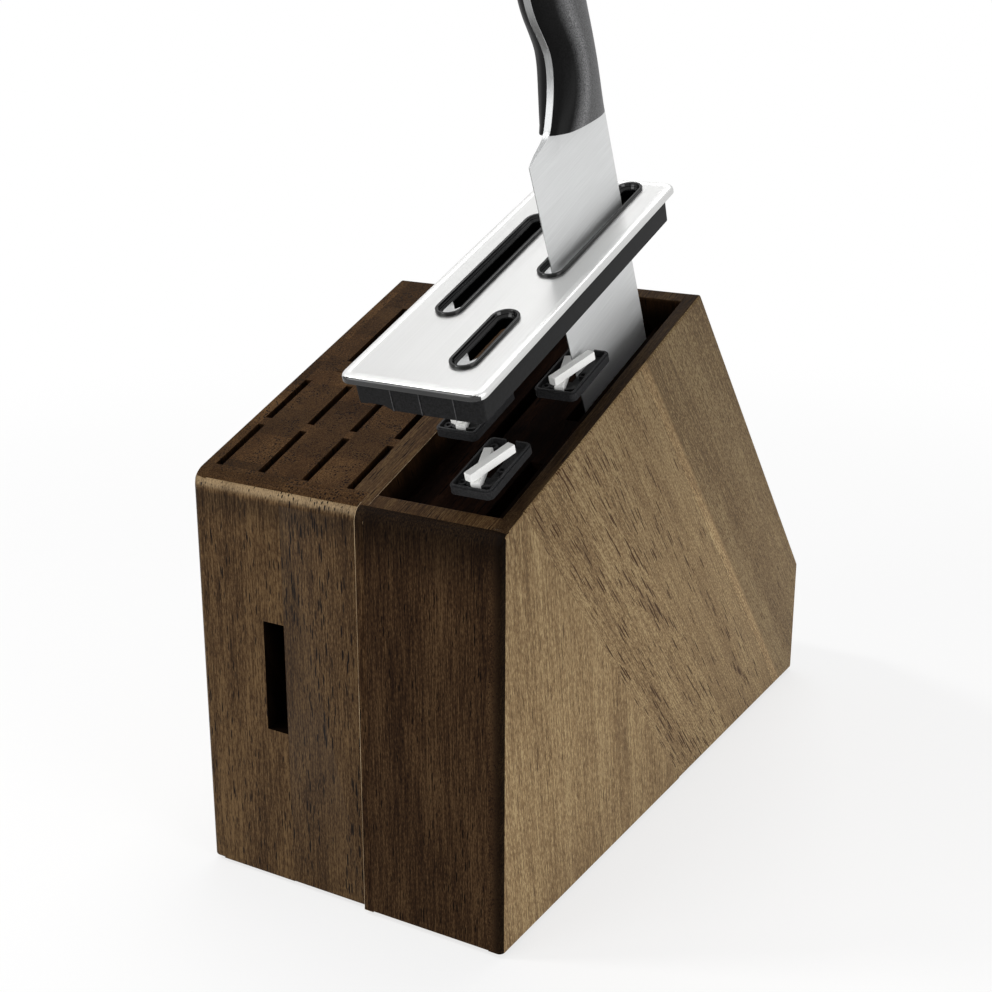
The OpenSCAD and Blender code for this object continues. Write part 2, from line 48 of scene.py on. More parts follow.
# Lengths are millimetres and become metres in toModel(). x runs across the block, u climbs the sloping
# top from its front edge, and n leaves it squarely.
block = {
    "frontHeight": 150.0,
    "slope": math.radians(19.4),
    "topLength": 157.4,
    "depth": 277.5,
    "backHeight": 53.0,
    "width": 127.0,
    "leftWidth": 70.4,
    "paleSeam": 102.0,      # a glued seam of the cheeks, counted along the top
    "padHeight": 1.5,
}

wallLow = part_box("well_wall")[0]
originX = wallLow.x * 1000 - block["leftWidth"]
originY = wallLow.y * 1000
sinSlope, cosSlope = math.sin(block["slope"]), math.cos(block["slope"])


def toModel(x, y, z):
    return Vector((x + originX, y + originY, z + block["padHeight"])) / 1000


def onSlope(x, u, n):
    return toModel(x, u * cosSlope - n * sinSlope, block["frontHeight"] + u * sinSlope + n * cosSlope)


across = Vector((1, 0, 0))
upright = Vector((0, 0, 1))
forward = Vector((0, -1, 0))
climb = Vector((0, cosSlope, sinSlope))
square = Vector((0, -sinSlope, cosSlope))
topBackY = block["topLength"] * cosSlope
topBackZ = block["frontHeight"] + block["topLength"] * sinSlope
backAngle = math.atan((block["depth"] - topBackY) / (topBackZ - block["backHeight"]))
backFall = Vector((0, math.sin(backAngle), -math.cos(backAngle)))  # down the slanting back
backSquare = Vector((0, math.cos(backAngle), math.sin(backAngle)))


# sRGB hex to linear colour
def hexColour(code):
    channels = [int(code[k:k + 2], 16) / 255 for k in (1, 3, 5)]
    return [c / 12.92 if c <= 0.04045 else ((c + 0.055) / 1.055) ** 2.4 for c in channels] + [1.0]


# One node with its settings and a ramp's stops. Inputs are links or plain values: on a Mix node 0 is the
# share, 2 and 3 are its numbers, 6 and 7 its colours; on a MapRange node 1 to 4 are its from and to ends.
def addNode(tree, kind, inputs=None, stops=None, **settings):
    node = tree.nodes.new("ShaderNode" + kind)
    for name, value in settings.items():
        setattr(node, name, value)
    for k, (place, shade) in enumerate(stops or []):
        element = node.color_ramp.elements[k] if k < 2 else node.color_ramp.elements.new(place)
        element.position = place
        element.color = hexColour(shade)
    fillSockets(tree, node, inputs or {})
    return node


def fillSockets(tree, node, inputs):
    for name, value in inputs.items():
        if isinstance(value, bpy.types.NodeSocket):
            tree.links.new(value, node.inputs[name])
        else:
            node.inputs[name].default_value = value


def newMaterial(name):
    material = bpy.data.materials.new(name)
    material.use_nodes = True
    return material, material.node_tree, material.node_tree.nodes["Principled BSDF"]


# The object's own coordinates along three directions, counted in cells of so many millimetres
def patternSpace(tree, axes, sizes, shift=None, point=None):
    point = point or addNode(tree, "TexCoord").outputs["Object"]
    parts = {letter: addNode(tree, "VectorMath", {0: point, 1: axis * (1000 / size)},
                             operation="DOT_PRODUCT").outputs["Value"]
             for letter, axis, size in zip("XYZ", axes, sizes)}
    space = addNode(tree, "CombineXYZ", parts).outputs[0]
    if shift:
        space = addNode(tree, "VectorMath", {0: space, 1: shift}, operation="ADD").outputs[0]
    return space


# Acacia, sawn, glued up, stained dark and oiled to a low sheen: open pores show as short dark dashes along
# the grain and as dots across it, over fine fibre streaks and slow clouds of tone.
# Each size pair is along and across the grain in millimetres. Real pores and fibres are 0.2 mm wide and
# finer, so they are drawn about 0.5 mm wide, which shows.
#   mix       share of the clouds over the fibres, then of the grit over both
#   pores     cell length, cell width and the share of a cell that a pore fills
#   block     length of the small blocks that end grain is made of
#   shade     direction, line to count from, start and end in millimetres, tone at each
#   paintedHighlight  painted highlight band: direction, line, middle and half width in millimetres, colour,
#       share
#   fray      how far shade and painted highlight wander with the grain, in millimetres
woods = {
    # Planed front boards: dark brown with short dashes. A painted highlight makes the rounded top edge pale,
    # above a band of painted shade.
    "frontAcacia": {
        "grain": upright, "shades": ("#2b1c0e", "#46331f", "#654f34"), "pore": "#0d0604",
        "fibre": (14, 0.5), "cloud": (90, 11), "grit": (1.6, 0.4), "mix": (0.35, 0.35),
        "pores": (8.5, 1.0, 0.27), "roughness": (0.36, 0.5), "specular": 0.03, "coat": 0.06,
        "paintedHighlight": (square, "top", -2.2, 2.7, "#9c8564", 0.85), "fray": 1.5,
        "shade": ((square, "top", -4.4, -6, 1.0, 0.62), (square, "top", -7, -17, 1.0, 1.6)),
    },
    # Planed boards, darker: painted shade makes them nearly black brown at the top and at the right edge
    "frontAcaciaShaded": {
        "grain": upright, "shades": ("#1b1009", "#332315", "#4e3b27"), "pore": "#080402",
        "fibre": (14, 0.5), "cloud": (90, 12), "grit": (1.6, 0.4), "mix": (0.35, 0.35),
        "pores": (8.5, 1.0, 0.24), "roughness": (0.45, 0.6), "specular": 0.02, "coat": 0.0,
        "fray": 14,
        "shade": ((square, "top", 0, -24, 0.3, 1.0), (across, "right", -1, -5, 0.25, 1.0)),
    },
    # Planed cheek staves: light brown, paler than the fronts partly in their own wood and partly as painted
    # light of the lit side; long dashes down the slanting back, and painted shade towards the top
    "sideAcacia": {
        "grain": backFall, "shades": ("#5c4931", "#7c6547", "#9e8a66"), "pore": "#402b19",
        "fibre": (30, 0.55), "cloud": (160, 13), "grit": (1.5, 0.4), "mix": (0.3, 0.45),
        "pores": (18, 1.1, 0.27), "roughness": (0.38, 0.52), "specular": 0.03, "coat": 0.0,
        "fray": 7,
        "shade": ((upright, "top", 60, -90, 0.76, 1.06), (backSquare, "seam", 0, 1, 1.0, 1.3),
                  (backSquare, "seam", 4.5, 6, 1.0, 0.62)),
    },
    # An eased edge drawn pale tan as a painted highlight, with a waxy gloss
    "highlitEdgeAcacia": {
        "grain": upright, "shades": ("#8a7250", "#a68d68", "#c2ab86"), "pore": "#5a452e",
        "fibre": (18, 0.7), "cloud": (34, 11), "grit": (3, 0.5), "mix": (0.5, 0.25),
        "pores": (8.5, 1.2, 0.2), "roughness": (0.3, 0.4), "specular": 0.2, "coat": 0.3,
    },
    # Cut across the grain and sanded: pores are dots, and small blocks differ in tone
    "endAcacia": {
        "grain": square, "shades": ("#241608", "#362413", "#4f3a23"), "pore": "#0b0603",
        "fibre": (10, 0.6), "cloud": (50, 24), "grit": (1.2, 0.4), "mix": (0.4, 0.35),
        "pores": (9, 1.0, 0.34), "block": 17,
        "roughness": (0.4, 0.55), "specular": 0.02, "coat": 0.0,
    },
    # Planed rim of the well: dark brown with streaks up the slope
    "rimAcacia": {
        "grain": climb, "shades": ("#2b1d11", "#3f2d1c", "#56432b"), "pore": "#0d0704",
        "fibre": (18, 0.5), "cloud": (70, 7), "grit": (1.6, 0.4), "mix": (0.35, 0.3),
        "pores": (12, 1.0, 0.24), "roughness": (0.4, 0.55), "specular": 0.02, "coat": 0.02,
        "shade": ((across, "right", -6.4, -4.8, 1.0, 0.5),),
    },
    # Routed floor of the well: dark wood drawn almost black and matt, a painted shade of the deep well
    "floorAcacia": {
        "grain": climb, "shades": ("#070302", "#0f0704", "#1b0f09"), "pore": "#020101",
        "fibre": (16, 0.7), "cloud": (40, 7), "grit": (2.2, 0.5), "mix": (0.5, 0.25),
        "pores": (14, 1.2, 0.26), "roughness": (0.6, 0.8), "specular": 0.01, "coat": 0.0,
    },
    # Sawn walls of the slots, never oiled: matt brown, with painted shade that darkens them with depth
    "slotAcacia": {
        "grain": square, "shades": ("#1c1209", "#291b0f", "#362415"), "pore": "#0a0603",
        "fibre": (12, 0.8), "cloud": (40, 7), "grit": (2.2, 0.5), "mix": (0.5, 0.25),
        "pores": (9, 1.1, 0.26), "roughness": (0.6, 0.8), "specular": 0.02, "coat": 0.0,
        "shade": ((square, "top", -1, -9, 1.0, 0.15),),
    },
}
# What all woods share
figure = {
    "layers": {"fibre": (4.0, 0.65), "cloud": (3.0, 0.55), "grit": (2.0, 0.6), "crowd": (2.0, 0.5)},
    "crowdSize": (50, 7),               # pores stand closer together in patches of this size
    "crowdRange": (0.4, 0.6),
    "crowdShares": (0.5, 1.15),
    "poreEdge": (0.8, 1.0),
    "shadePlaces": (0.41, 0.5, 0.59),
    "blockTones": (0.75, 1.35),
    "blockReach": 400,                  # the blocks run on across the board
    # How the fibres break up a painted highlight
    "highlightStreaks": (0.4, 0.56, 0.35, 1.0),
    "glossPlaces": (0.3, 0.7), "coatRoughness": 0.14,
    "bump": 0.3, "bumpDepth": 0.0002,   # metres, as all depths of bump are
}
shadeFrom = {"top": onSlope(0, 0, 0), "right": toModel(block["width"], 0, 0),
             "seam": onSlope(0, block["paleSeam"], 0)}


def makeWood(name, look):
    material, tree, shader = newMaterial(name)
    grain = look["grain"]
    axes = (grain, across, grain.cross(across))
    shift = addNode(tree, "Attribute", attribute_name="boardShift").outputs["Vector"]
    lookOut = addNode(tree, "Attribute", attribute_name="boardLook").outputs["Vector"]
    tone, turn, crowding = addNode(tree, "SeparateXYZ", {0: lookOut}).outputs
    point = addNode(tree, "TexCoord").outputs["Object"]
    turned = addNode(tree, "VectorRotate", {"Vector": point, "Axis": across, "Angle": turn}).outputs[0]

    def space(along, wide):
        return patternSpace(tree, axes, (along, wide, wide), shift, turned)

    layers = {}
    for layer, (detail, roughness) in figure["layers"].items():
        size = look.get(layer, figure["crowdSize"])
        layers[layer] = addNode(tree, "TexNoise", {"Vector": space(*size), "Scale": 1.0, "Detail": detail,
                                                   "Roughness": roughness}).outputs["Fac"]
    fibre = layers["fibre"]
    mixed = addNode(tree, "Mix", {0: look["mix"][0], 2: fibre, 3: layers["cloud"]}).outputs[0]
    mixed = addNode(tree, "Mix", {0: look["mix"][1], 2: mixed, 3: layers["grit"]}).outputs[0]
    stops = list(zip(figure["shadePlaces"], look["shades"]))
    colour = addNode(tree, "ValToRGB", {0: mixed}, stops).outputs[0]

    # Pores: the middle of each stretched cell, wider where they crowd
    length, width, share = look["pores"]
    cells = addNode(tree, "TexVoronoi", {"Vector": space(length, width), "Scale": 1.0}).outputs["Distance"]
    start, end = figure["crowdRange"]
    few, many = figure["crowdShares"]
    crowd = addNode(tree, "MapRange", {0: layers["crowd"], 1: start, 2: end, 3: share * few,
                                       4: share * many}).outputs[0]
    crowd = addNode(tree, "Math", {0: crowd, 1: crowding}, operation="MULTIPLY").outputs[0]
    reach = addNode(tree, "Math", {0: cells, 1: crowd}, operation="DIVIDE").outputs[0]
    start, end = figure["poreEdge"]
    pore = addNode(tree, "MapRange", {0: reach, 1: start, 2: end, 3: 1.0, 4: 0.0}).outputs[0]

    if "block" in look:
        cell = (look["block"], figure["blockReach"], figure["blockReach"])
        row = addNode(tree, "SeparateXYZ", {0: patternSpace(tree, (climb, across, square), cell, shift)})
        step = addNode(tree, "Math", {0: row.outputs[0]}, operation="FLOOR").outputs[0]
        chance = addNode(tree, "TexWhiteNoise", {"W": step}, noise_dimensions="1D").outputs["Value"]
        low, high = figure["blockTones"]
        lift = addNode(tree, "MapRange", {0: chance, 3: low, 4: high}).outputs[0]
        tone = addNode(tree, "Math", {0: tone, 1: lift}, operation="MULTIPLY").outputs[0]

    # Millimetres from a line of the block, along one axis, with an edge that follows the grain
    def distance(axis, side):
        fray = look.get("fray", 1)
        frayed = addNode(tree, "Math", {0: mixed, 1: fray}, operation="MULTIPLY").outputs[0]
        away = addNode(tree, "VectorMath", {0: point, 1: axis * 1000}, operation="DOT_PRODUCT")
        away = addNode(tree, "Math", {0: away.outputs["Value"], 1: frayed}, operation="ADD").outputs[0]
        zero = shadeFrom[side].dot(axis) * 1000 + fray / 2
        return addNode(tree, "Math", {0: away, 1: zero}, operation="SUBTRACT").outputs[0]

    # Tone that changes with distance from a line of the block: the wood's own bands at a seam and at the
    # rim's right edge, and painted shade at the fronts' top edges, towards the side's top and down into the
    # slots
    for axis, side, start, end, first, last in look.get("shade", ()):
        shade = addNode(tree, "MapRange", {0: distance(axis, side), 1: start, 2: end, 3: first, 4: last},
                        interpolation_type="SMOOTHSTEP").outputs[0]
        tone = addNode(tree, "Math", {0: tone, 1: shade}, operation="MULTIPLY").outputs[0]
    colour = addNode(tree, "HueSaturation", {"Value": tone, "Color": colour}).outputs[0]
    # Painted highlight: a pale band along the rounded top edge, broken up by the fibres
    if "paintedHighlight" in look:
        axis, side, middle, half, pale, share = look["paintedHighlight"]
        off = addNode(tree, "Math", {0: distance(axis, side), 1: middle}, operation="SUBTRACT").outputs[0]
        off = addNode(tree, "Math", {0: off}, operation="ABSOLUTE").outputs[0]
        paintedHighlit = addNode(tree, "MapRange", {0: off, 1: half, 2: 0.0, 3: 0.0, 4: share},
                         interpolation_type="SMOOTHSTEP").outputs[0]
        start, end, low, high = figure["highlightStreaks"]
        streak = addNode(tree, "MapRange", {0: mixed, 1: start, 2: end, 3: low, 4: high}).outputs[0]
        paintedHighlit = addNode(tree, "Math", {0: paintedHighlit, 1: streak}, operation="MULTIPLY").outputs[0]
        colour = addNode(tree, "Mix", {0: paintedHighlit, 6: colour, 7: hexColour(pale)},
                         data_type="RGBA").outputs[2]
    colour = addNode(tree, "Mix", {0: pore, 6: colour, 7: hexColour(look["pore"])},
                     data_type="RGBA").outputs[2]
    start, end = figure["glossPlaces"]
    low, high = look["roughness"]
    height = addNode(tree, "Math", {0: fibre, 1: pore}, operation="SUBTRACT").outputs[0]
    fillSockets(tree, shader, {
        "Base Color": colour,
        "Roughness": addNode(tree, "MapRange", {0: fibre, 1: start, 2: end, 3: low, 4: high}).outputs[0],
        "Normal": addNode(tree, "Bump", {"Strength": figure["bump"], "Distance": figure["bumpDepth"],
                                         "Height": height}).outputs[0],
        "Specular IOR Level": look["specular"], "IOR": 1.5,
        "Coat Weight": look["coat"], "Coat Roughness": figure["coatRoughness"],
    })
    return material


wood = {name: makeWood(name, look) for name, look in woods.items()}


# A stipple or grit breaks up colour and gloss. It is far below 0.1 mm on the real parts, so it is drawn
# 0.35 to 0.8 mm wide, which shows. Roughness is the middle of its range.
#   paintedShadeAndHighlight  painted shade and highlight, from the belly of the handle, 0, to its spine, 1
plastics = {
    # ABS, moulded in a polished tool: deep black with crisp highlights
    "glossBlackAbs": {
        "shades": ("#040405", "#070708"), "grit": 0.6, "roughness": 0.06, "bump": 0.02, "specular": 0.3,
    },
    # ABS, moulded, the unpolished inside of the slots: black that gives no light back, standing in for the
    # shade deep in the slots
    "dullBlackAbs": {
        "shades": ("#030303", "#060606"), "grit": 0.6, "roughness": 0.8, "bump": 0.1, "specular": 0.0,
    },
    # ABS, moulded in a sparked tool: a soft black skin
    "blackAbsBase": {
        "shades": ("#0f0f0f", "#1f1f20"), "grit": 0.7, "roughness": 0.5, "bump": 0.15, "specular": 0.08,
    },
    # ABS, moulded: thin raised lines, drawn a paler grey
    "paleAbsLine": {
        "shades": ("#343435", "#4a4a4b"), "grit": 0.7, "roughness": 0.5, "bump": 0.1, "specular": 0.1,
    },
    # ABS, moulded with a light stipple: charcoal with soft highlights
    "blackAbsTray": {
        "shades": ("#222223", "#323233"), "grit": 0.6, "roughness": 0.42, "bump": 0.15, "specular": 0.12,
    },
    # ABS, moulded in light grey: plain and satin
    "greyAbsGuide": {
        "shades": ("#b4b5b5", "#c6c7c7"), "grit": 0.5, "roughness": 0.4, "bump": 0.15, "specular": 0.3,
    },
    # Alumina ceramic, sintered and ground: clean white and faintly matt
    "sinteredAlumina": {
        "shades": ("#f2f2ef", "#fafaf8"), "grit": 0.35, "roughness": 0.55, "bump": 0.15, "specular": 0.3,
    },
    # Acetal, moulded with a sparked grain: grey over the flat side, with painted shade that makes it black
    # at the belly and a painted highlight along the ridge
    "blackAcetalHandle": {
        "shades": ("#48484a", "#a0a0a1"), "grit": 0.45, "roughness": 0.45, "bump": 0.12,
        "specular": 0.08,
        "paintedShadeAndHighlight": ((0.0, "#1c1c1c"), (0.14, "#242424"), (0.36, "#d8d8d8"), (0.5, "#9c9c9c"),
                 (1.0, "#b4b4b4")),
    },
    # Rubber, moulded: matt and near black
    "blackRubberFoot": {
        "shades": ("#101010", "#1a1a1a"), "grit": 0.8, "roughness": 0.8, "bump": 0.15, "specular": 0.3,
    },
}
# What all plastics share
moulding = {
    "detail": 3.0, "shadePlaces": (0.35, 0.65),
    "glossPlaces": (0.3, 0.7), "glossSpread": (0.85, 1.15), "bumpDepth": 0.0001,
}


def makePlastic(name, look):
    material, tree, shader = newMaterial(name)
    space = patternSpace(tree, (across, forward, upright), (look["grit"],) * 3)
    stipple = addNode(tree, "TexNoise", {"Vector": space, "Scale": 1.0,
                                         "Detail": moulding["detail"]}).outputs["Fac"]
    stops = list(zip(moulding["shadePlaces"], look["shades"]))
    colour = addNode(tree, "ValToRGB", {0: stipple}, stops).outputs[0]
    # Painted shade makes the belly black, and a painted highlight runs along the ridge
    if "paintedShadeAndHighlight" in look:
        place = addNode(tree, "Attribute", attribute_name="gripPlace").outputs["Fac"]
        paintedTint = addNode(tree, "ValToRGB", {0: place}, look["paintedShadeAndHighlight"]).outputs[0]
        colour = addNode(tree, "Mix", {0: 1.0, 6: colour, 7: paintedTint}, data_type="RGBA",
                         blend_type="MULTIPLY").outputs[2]
    start, end = moulding["glossPlaces"]
    low, high = [look["roughness"] * share for share in moulding["glossSpread"]]
    fillSockets(tree, shader, {
        "Base Color": colour,
        "Roughness": addNode(tree, "MapRange", {0: stipple, 1: start, 2: end, 3: low, 4: high}).outputs[0],
        "Normal": addNode(tree, "Bump", {"Strength": look["bump"], "Distance": moulding["bumpDepth"],
                                         "Height": stipple}).outputs[0],
        "IOR": 1.49, "Specular IOR Level": look["specular"],
    })
    return material


lean = math.radians(5)                    # the knife leans to the front in its slot
knifeUp = climb * -math.sin(lean) + square * math.cos(lean)
knifeBack = climb * math.cos(lean) + square * math.sin(lean)

# Brushing and grinding leave hair lines in one direction, which draw highlights out sideways. They are far
# finer than 0.1 mm, so they are drawn 0.3 mm wide and more, which shows: line is along and across them.
steels = {
    # Stainless steel sheet, brushed along the plate: even, bright and satin
    "brushedSteelPlate": {
        "shades": ("#cacac9", "#d0d0cf"), "along": climb, "beside": across, "line": (70, 0.35),
        "roughness": (0.28, 0.34), "bump": 0.01,
    },
    # Stainless steel sheet, its rolled rim buffed: bright, soft and without lines
    "polishedSteelRim": {
        "shades": ("#cacac9", "#d0d0cf"), "along": climb, "beside": across, "line": (40, 6),
        "roughness": (0.4, 0.44), "bump": 0.0,
    },
    # Stainless steel sheet, its rolled edge: drawn dark grey, a painted shade
    "shadedSteelEdge": {
        "shades": ("#3e3e3e", "#4c4c4c"), "along": across, "beside": square, "line": (30, 0.5),
        "roughness": (0.22, 0.3), "bump": 0.01,
    },
    # Stainless steel blade, ground from edge to spine: pale satin
    "satinSteelBlade": {
        "shades": ("#cbcccc", "#d6d7d7"), "along": knifeBack, "beside": knifeUp, "line": (60, 0.35),
        "roughness": (0.56, 0.64), "bump": 0.015,
    },
    # Stainless steel tang, ground along the handle: a darker and sharper satin
    "satinSteelTang": {
        "shades": ("#8a8b8b", "#a3a4a4"), "along": knifeUp, "beside": across, "line": (20, 0.3),
        "roughness": (0.36, 0.46), "bump": 0.03,
    },
}
# What all steels share
brushing = {
    "detail": 3.0, "shadePlaces": (0.3, 0.7), "glossPlaces": (0.3, 0.7), "bumpDepth": 0.00005,
}


def makeSteel(name, look):
    material, tree, shader = newMaterial(name)
    along, beside = look["along"], look["beside"]
    length, width = look["line"]
    space = patternSpace(tree, (along, beside, along.cross(beside)), (length, width, width))
    hair = addNode(tree, "TexNoise", {"Vector": space, "Scale": 1.0,
                                      "Detail": brushing["detail"]}).outputs["Fac"]
    stops = list(zip(brushing["shadePlaces"], look["shades"]))
    start, end = brushing["glossPlaces"]
    low, high = look["roughness"]
    fillSockets(tree, shader, {
        "Base Color": addNode(tree, "ValToRGB", {0: hair}, stops).outputs[0],
        "Roughness": addNode(tree, "MapRange", {0: hair, 1: start, 2: end, 3: low, 4: high}).outputs[0],
        "Normal": addNode(tree, "Bump", {"Strength": look["bump"], "Distance": brushing["bumpDepth"],
                                         "Height": hair}).outputs[0],
        "Metallic": 1.0,
    })
    return material


finish = {name: makeSteel(name, look) for name, look in steels.items()}
finish.update({name: makePlastic(name, look) for name, look in plastics.items()})
print("materials made:", len(wood) + len(finish))


# Boards: corners that stay in the open are eased, glued faces keep their sharp edges
boards = {
    "openRadius": 1.1, "bevelSteps": 3,
    "paintedHighlit": {"well_wall": 2.1},       # its eased edges are drawn pale, a painted highlight
    "mouthShare": 0.2,                  # share of the radius at the mouth of the well
    "leastFold": 20,                    # degrees: flatter folds stay as they are
    "openGap": 0.02, "wideGap": 0.06,   # metres free in front of an edge, to be eased and to be eased fully
    "probePlaces": (0.15, 0.5, 0.85),   # where along an edge the gap in front of each face is felt for
    "probeIn": 0.0006, "probeOut": 0.00003, "probeReach": 0.3,
    # How squarely a face looks a way to count as one of that side
    "topFacing": 0.8, "rightTopFacing": 0.98, "frontFacing": 0.25, "seamFacing": 0.99, "wallFacing": 0.9,
    "tones": (0.92, 0.16), "shift": 40,     # tone and its spread, and how far the figure moves
    "seed": 7,
    "rimNodes": ("well_wall", "right_front_board", "right_back_board", "right_cheek", "inner_cheek"),
    "rightNodes": ("well_wall", "right_front_board", "right_cheek"),
    "floorNodes": ("well_slat", "left_slot_strips", "right_slot_strips"),
    # Tone, turn of the grain in degrees and crowding of the pores
    "looks": {
        "left_front_slotted": (1.03, 0, 0.9), "left_front_plain": (0.97, 0, 1.15),
        "right_front_board": (1.0, 0, 0.95), "well_wall": (1.05, 0, 0.95),
        "steak_slat_1": (0.95, 0, 1), "steak_slat_2": (1.05, 0, 1), "steak_slat_3": (1.05, 0, 1),
        "inner_cheek": (0.95, 0, 1), "row_strips": (0.85, 0, 1), "row_end_strips": (0.85, 0, 1),
        "rear_slat_1": (0.9, 0, 1), "rear_slat_2": (1.0, 0, 1), "rear_slat_3": (0.85, 0, 1),
        "right_back_board": (0.7, 0, 1), "right_cheek_1": (1.06, 33, 0.7), "right_cheek_2": (1.02, 0, 1.2),
        "right_cheek_3": (1.0, 2, 1.0), "right_cheek_4": (0.97, -1, 0.55),
    },
}
woodNodes = [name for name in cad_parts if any(part in name for part in (
    "cheek", "front_slotted", "front_plain", "slat", "strips", "board", "well_wall"))]


def joinedTree(names):
    corners, faces = [], []
    for name in names:
        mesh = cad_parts[name].data
        start = len(corners)
        corners += [v.co.copy() for v in mesh.vertices]
        faces += [[start + v for v in face.vertices] for face in mesh.polygons]
    return BVHTree.FromPolygons(corners, faces)


allWood = joinedTree(woodNodes)


# Free metres in front of a face beside one of its edges: 0 where a board is glued on, 1 in the open
def clearOf(edge, face):
    ends = [v.co for v in edge.verts]
    inward = face.normal.cross(ends[1] - ends[0]).normalized()
    if inward.dot(face.calc_center_median() - (ends[0] + ends[1]) / 2) < 0:
        inward = -inward
    gaps = []
    for share in boards["probePlaces"]:
        start = ends[0].lerp(ends[1], share) + inward * boards["probeIn"] + face.normal * boards["probeOut"]
        place, normal, _, gap = allWood.ray_cast(start, face.normal, boards["probeReach"])
        if place is None:
            gap = 1.0
        elif normal.dot(face.normal) > 0:
            gap = 0.0       # the ray starts inside the neighbour
        gaps.append(gap)
    return min(gaps)


def addObject(name, bm, materials, body, replaced, smoothAngle=30):
    mesh = bpy.data.meshes.new(name)
    bm.to_mesh(mesh)
    bm.free()
    for polygon in mesh.polygons:
        polygon.use_smooth = True
    mesh.set_sharp_from_angle(angle=math.radians(smoothAngle))
    for material in materials:
        mesh.materials.append(material)
    made = bpy.data.objects.new(name, mesh)
    bpy.context.collection.objects.link(made)
    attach(made, body)
    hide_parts(*replaced)
    return made


easing = {
    "weld": 0.000002,                   # metres
    "flatAngle": 1, "foldAngle": 35,    # degrees
}


# A solid's mesh without the lines that cut up its flat faces
def cleanCopy(name):
    bm = bmesh.new()
    bm.from_mesh(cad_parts[name].data)
    bmesh.ops.remove_doubles(bm, verts=bm.verts, dist=easing["weld"])
    flat = math.radians(easing["flatAngle"])
    bmesh.ops.dissolve_limit(bm, angle_limit=flat, verts=bm.verts, edges=bm.edges)
    return bm


def addBevel(made, width, limit, segments):
    bevel = made.modifiers.new("easedEdges", "BEVEL")
    bevel.width = width / 1000
    bevel.segments = segments
    bevel.limit_method = limit
    bevel.angle_limit = math.radians(easing["foldAngle"])
    bevel.harden_normals = True
    bevel.miter_outer = "MITER_ARC"
    return bevel


def isOpenFace(face):
    start = face.calc_center_median() + face.normal * boards["probeOut"]
    return allWood.ray_cast(start, face.normal, boards["probeReach"])[0] is None


def dressBoard(name):
    bm = cleanCopy(name)
    weights = bm.edges.layers.float.new("bevel_weight_edge")
    bm.normal_update()
    for edge in bm.edges:
        isFold = len(edge.link_faces) == 2 and edge.is_convex
        if not isFold or edge.calc_face_angle() < math.radians(boards["leastFold"]):
            continue
        lies = [face.normal.dot(backSquare) for face in edge.link_faces]
        isAhead, isBehind = min(lies) < -boards["seamFacing"], max(lies) > boards["seamFacing"]
        if "cheek" in name and (isAhead or isBehind and name[-1] != "4"):
            continue        # a glued seam between two staves, but the last one ends in the open
        if "left_cheek" in name and max(face.normal.x for face in edge.link_faces) > boards["seamFacing"]:
            continue        # glued to the slats
        gap = min(clearOf(edge, face) for face in edge.link_faces)
        if gap > boards["openGap"]:
            edge[weights] = 1.0 if gap > boards["wideGap"] else boards["mouthShare"]
    isFloor = name.startswith(boards["floorNodes"])
    isRight = name.startswith(boards["rightNodes"])
    topFacing = boards["rightTopFacing"] if isRight else boards["topFacing"]
    top = "floorAcacia" if isFloor else "rimAcacia" if name.startswith(boards["rimNodes"]) else "endAcacia"
    front = "frontAcaciaShaded" if isRight else "frontAcacia"
    order = ["sideAcacia", front, top, "slotAcacia", "highlitEdgeAcacia"]
    for face in bm.faces:
        isOpen = isOpenFace(face)
        if isFloor or isOpen and face.normal.dot(square) > topFacing:
            face.material_index = order.index(top)
        elif isOpen and face.normal.dot(forward) > boards["frontFacing"]:
            face.material_index = order.index(front)
        elif not isOpen and not (name == "well_wall" and face.normal.x < -boards["wallFacing"]):
            face.material_index = order.index("slotAcacia")
    made = addObject(name + "_wood", bm, [wood[n] for n in order], "block", [name])
    mesh = made.data
    rolls = random.Random(boards["seed"] + woodNodes.index(name))
    look = mesh.attributes.new("boardLook", "FLOAT_VECTOR", "POINT")
    shift = mesh.attributes.new("boardShift", "FLOAT_VECTOR", "POINT")
    least, spread = boards["tones"]
    tone, turn, pores = boards["looks"].get(name, (least + spread * rolls.random(), 0, 1))
    offset = [rolls.uniform(-boards["shift"], boards["shift"]) for k in range(3)]
    for k in range(len(mesh.vertices)):
        look.data[k].vector = (tone, math.radians(turn), pores)
        shift.data[k].vector = offset
    # Eased edges; on the well wall they are wider and drawn pale as a painted highlight
    radius = boards["paintedHighlit"].get(name, boards["openRadius"])
    bevel = addBevel(made, radius, "WEIGHT", boards["bevelSteps"])
    if name in boards["paintedHighlit"]:
        bevel.material = order.index("highlitEdgeAcacia")


for name in woodNodes:
    dressBoard(name)
print("boards dressed:", len(woodNodes))

# The cartridge's own frame: its origin lies under the middle of the plate's front rim
cartridge = {
    "lift": 45.0,                       # above the top, along n
    "middle": 97.85, "front": 7.05,     # x and u
    "columns": (11.0, -11.0, 11.0),
    "slotStarts": (14.984, 43.584, 74.3),
    "slotLengths": (31.8, 68.4, 66.4),
    "slotWidth": 5.6,
    "cornerSteps": 10, "endSteps": 14, "leastRadius": 0.3,
}
slotNames = ("short", "left", "rear")
slotCount = len(slotNames)


def inCartridge(x, y, z):
    return onSlope(cartridge["middle"] + x, cartridge["front"] + y, cartridge["lift"] + z)


